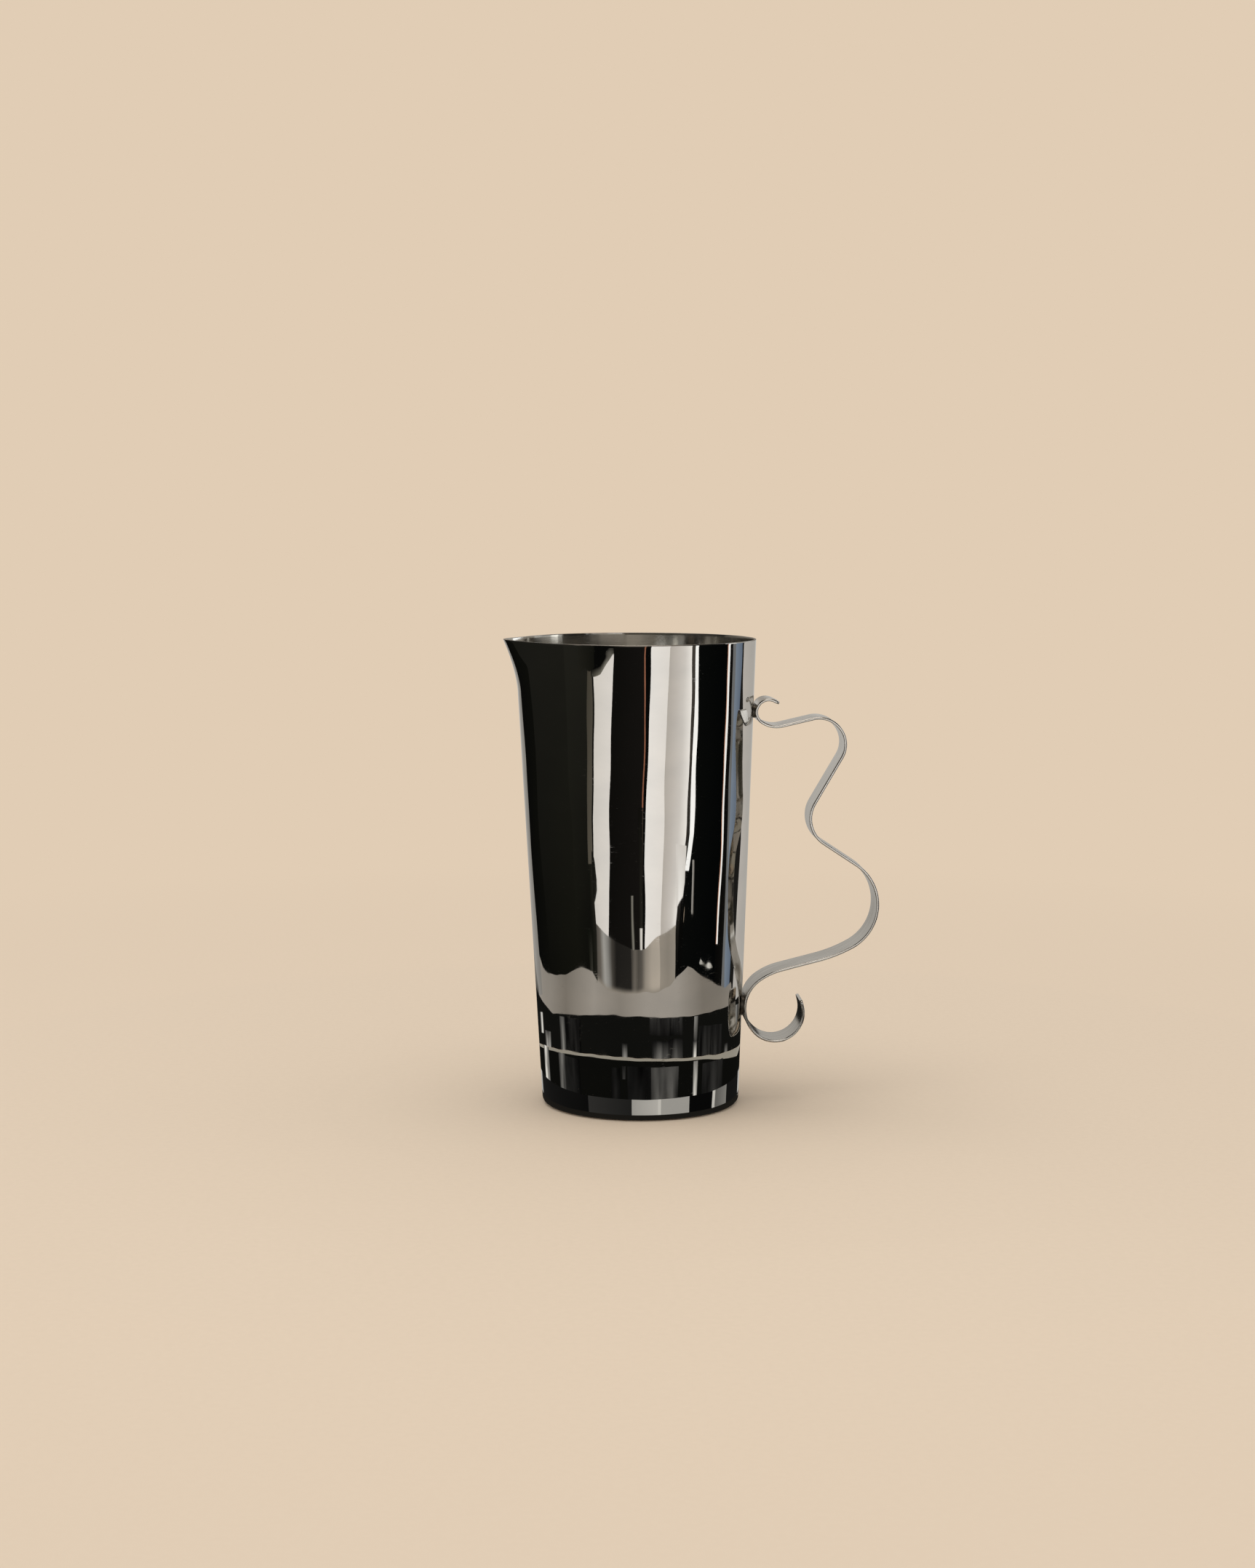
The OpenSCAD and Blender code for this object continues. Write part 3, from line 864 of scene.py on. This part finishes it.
def haze_cards():
    """Hazy lower part of the left white card and the middle group."""
    low = {"top": curve(HAZE), "below": seen(136, 128, 117)}
    card("haze left", WHITE_LEFT, -25.3, *warm_grey(75, 100), *plain(155, 130), *warm_grey(65, 30), **low)
    card("haze gap", -25.3, -11.3, *warm_grey(30, 35), **low)
    card("haze brown", -11.3, 3, *warm_grey(50, 100, 75, 85, 130), **low)
    card("haze white", 3, 17.3, *warm_grey(135, 165, 170), **low)
    card("haze wing", 17.3, 33.6, *warm_grey(145, 135, 145), **low)


def back_cards():
    """Behind the object: plain grey paper with a low dark flag before it."""
    card("paper right", BACK_LEFT, 150, seen(172, 166, 159), seen(146, 142, 135), top=flat(CLOTH_TOP))
    card("paper middle", 150, 205, seen(132, 128, 121), seen(126, 122, 116), top=flat(CLOTH_TOP),
         above=seen(188, 183, 176))
    card("paper left", 205, BACK_RIGHT, seen(136, 132, 126), seen(122, 118, 112), top=flat(CLOTH_TOP))
    card("low flag behind", 148, 216, seen(18, 18, 16), foot=flat(0.5), top=curve(LOW_FLAG_TOP),
         radius=CARD_R - 1, above=seen(116, 112, 105))


def cloth_cards():
    """Dark cloth above the cards, open at the top."""
    for i, (left, right) in enumerate(((-143, -50), (-50, 30), (30, 112))):
        card(f"cloth {i}", left, right, seen(22, 20, 18), foot=flat(CARD_TOP), top=flat(620))
    card("cloth behind", 112, 217, seen(44, 42, 35), foot=flat(CLOTH_TOP), top=flat(800))
    card("cloth behind left", 198, 229, seen(58, 55, 46), seen(50, 48, 40), foot=flat(245),
         top=flat(CLOTH_TOP), radius=CARD_R - 3)


def spots(name, table, radius):
    """Streaky spots on a low rim."""
    for i, (left, right, low, high, levels, above) in enumerate(table):
        card(f"{name} {i}", left, right, *plain(*levels), foot=flat(low), top=flat(high), radius=radius,
             paint=STREAKY, above=above and plain(above)[0])


def floor_cards():
    """Floor close round the object: grey paper, two low dark rims with spots, a dark ring of painted contact
    shadow and a band at the foot.
    """
    floor_ring("floor paper", 165, 420, FLOOR_Z, paper_tone)
    card("low rim outer", -180, 180, seen(16, 16, 14), foot=flat(0.5), top=curve(RIM_TOP),
         radius=RIM_OUTER_R)
    card("low rim inner", -180, 180, seen(12, 12, 10), foot=flat(0.5), top=curve(INNER_TOP),
         radius=RIM_INNER_R)
    spots("low rim glint", GLINTS, RIM_OUTER_R - 2)
    spots("low rim spark", SPARKS, RIM_INNER_R - 1.5)
    floor_ring("floor line", 84, 157, FLOOR_Z, lambda angle: seen(140, 134, 122))
    # Painted contact shadow: a dark ring, seen only in reflections, so the bottom's rounded corner mirrors
    # shade where it meets the floor.
    floor_ring("floor contact painted shadow", 47, 61.5, FLOOR_Z - 0.1, lambda angle: seen(26, 24, 21))
    for i, (left, right, levels) in enumerate(BANDS):
        card(f"low foot band {i}", left, right, *plain(*levels), foot=flat(0.2), top=curve(BAND_TOP),
             radius=BAND_R)


def mouth_cards():
    """Cards above the rim's height, seen only from inside the mouth."""
    for i, (left, right, grey, levels) in enumerate(MOUTH):
        card(f"mouth card {i}", left, right, *grey(*levels), foot=flat(MOUTH_Z), top=flat(MOUTH_TOP),
             radius=MOUTH_R)
    card("mouth dark", -58, 8, seen(48, 46, 39), foot=flat(262), top=flat(MOUTH_TOP), radius=MOUTH_R - 4)
    card("mouth bright", 114, 136, seen(254, 253, 251), foot=flat(286), top=flat(316), radius=MOUTH_R - 4)


# The floor, the lamp and the even light, in metres, degrees and watts
FLOOR_R = 9.0
FLOOR_DROP = 0.0002
FADE_START = 0.35
FADE_END = 0.9
SKY_STRENGTH = 0.85
LAMP_W = 1.4
LAMP_D = 1.0
LAMP_POWER = 5.0
LAMP_AT = (-0.25, -0.2, 1.55)
LAMP_TILT = (-7, -9, 0)


def make_floor():
    """Pale floor that runs out into the pale background."""
    below = (0, 0, -FLOOR_DROP)
    bpy.ops.mesh.primitive_circle_add(vertices=128, radius=FLOOR_R, fill_type="NGON", location=below)
    floor = bpy.context.object
    floor.name = "floor"
    m = Nodes("floor paint")
    where = m.add("ShaderNodeNewGeometry").outputs["Position"]
    far = m.add("ShaderNodeVectorMath", {0: where}, operation="LENGTH").outputs["Value"]
    grain = m.noise(m.coords((300.0, 300.0, 300.0)), 1.0, 3.0)
    tone = m.blend(m.spread(grain, 0.3, 0.7, 0.0, 1.0), srgb(224, 204, 180), srgb(226, 206, 182))
    m.use(Base_Color=tone, Roughness=0.9, Specular_IOR_Level=0.1)
    glow = m.add("ShaderNodeEmission", {"Color": PALE, "Strength": 1.0}).outputs[0]
    fade = m.spread(far, FADE_START, FADE_END, 0.0, 1.0)
    mix = m.add("ShaderNodeMixShader", {0: fade, 1: m.shader.outputs[0], 2: glow}).outputs[0]
    m.tree.links.new(mix, m.tree.nodes["Material Output"].inputs["Surface"])
    floor.data.materials.append(m.material)


def make_world():
    """Even soft light from all round, which the camera, mirrors and glass see as the pale background."""
    world = bpy.data.worlds.new("studio")
    bpy.context.scene.world = world
    world.use_nodes = True
    tree = world.node_tree
    tree.nodes.clear()
    path = tree.nodes.new("ShaderNodeLightPath")
    camera_or_glossy = tree.nodes.new("ShaderNodeMath")
    camera_or_glossy.operation = "ADD"
    any_seen = tree.nodes.new("ShaderNodeMath")
    any_seen.operation = "ADD"
    any_seen.use_clamp = True
    soft = tree.nodes.new("ShaderNodeBackground")
    soft.inputs["Color"].default_value = (1, 1, 1, 1)
    soft.inputs["Strength"].default_value = SKY_STRENGTH
    pale = tree.nodes.new("ShaderNodeBackground")
    pale.inputs["Color"].default_value = PALE
    mix = tree.nodes.new("ShaderNodeMixShader")
    out = tree.nodes.new("ShaderNodeOutputWorld")
    tree.links.new(path.outputs["Is Camera Ray"], camera_or_glossy.inputs[0])
    tree.links.new(path.outputs["Is Glossy Ray"], camera_or_glossy.inputs[1])
    tree.links.new(camera_or_glossy.outputs[0], any_seen.inputs[0])
    tree.links.new(path.outputs["Is Transmission Ray"], any_seen.inputs[1])
    tree.links.new(any_seen.outputs[0], mix.inputs[0])
    tree.links.new(soft.outputs[0], mix.inputs[1])
    tree.links.new(pale.outputs[0], mix.inputs[2])
    tree.links.new(mix.outputs[0], out.inputs["Surface"])


def make_lamp():
    """One wide softbox overhead."""
    lamp = bpy.data.lights.new("overhead softbox", "AREA")
    lamp.shape = "RECTANGLE"
    lamp.size = LAMP_W
    lamp.size_y = LAMP_D
    lamp.energy = LAMP_POWER
    holder = bpy.data.objects.new("overhead softbox", lamp)
    holder.location = LAMP_AT
    holder.rotation_euler = [math.radians(angle) for angle in LAMP_TILT]
    bpy.context.scene.collection.objects.link(holder)


# The camera stands where the photo was taken from. The focal length and the photo's height are in pixels
CAMERA_AT = (-0.08070, -1.41155, 0.31561)
CAMERA_DOWN = 6.0725
CAMERA_TURN = -3.0
FOCAL_LENGTH_PX = 3800.0
PHOTO_HEIGHT_PX = 2156.0
SENSOR = 36.0


def make_camera():
    """Camera at the photo's place and angle."""
    data = bpy.data.cameras.new("camera")
    data.sensor_fit = "VERTICAL"
    data.sensor_height = SENSOR
    data.lens = FOCAL_LENGTH_PX / PHOTO_HEIGHT_PX * SENSOR
    data.clip_end = 50.0
    camera = bpy.data.objects.new("camera", data)
    camera.location = CAMERA_AT
    camera.rotation_euler = (math.radians(90 - CAMERA_DOWN), 0.0, math.radians(CAMERA_TURN))
    bpy.context.scene.collection.objects.link(camera)
    bpy.context.scene.camera = camera


left_cards()
middle_cards()
right_cards()
haze_cards()
back_cards()
cloth_cards()
floor_cards()
mouth_cards()
make_floor()
make_world()
make_lamp()
make_camera()
bpy.context.scene.view_settings.view_transform = "Standard"
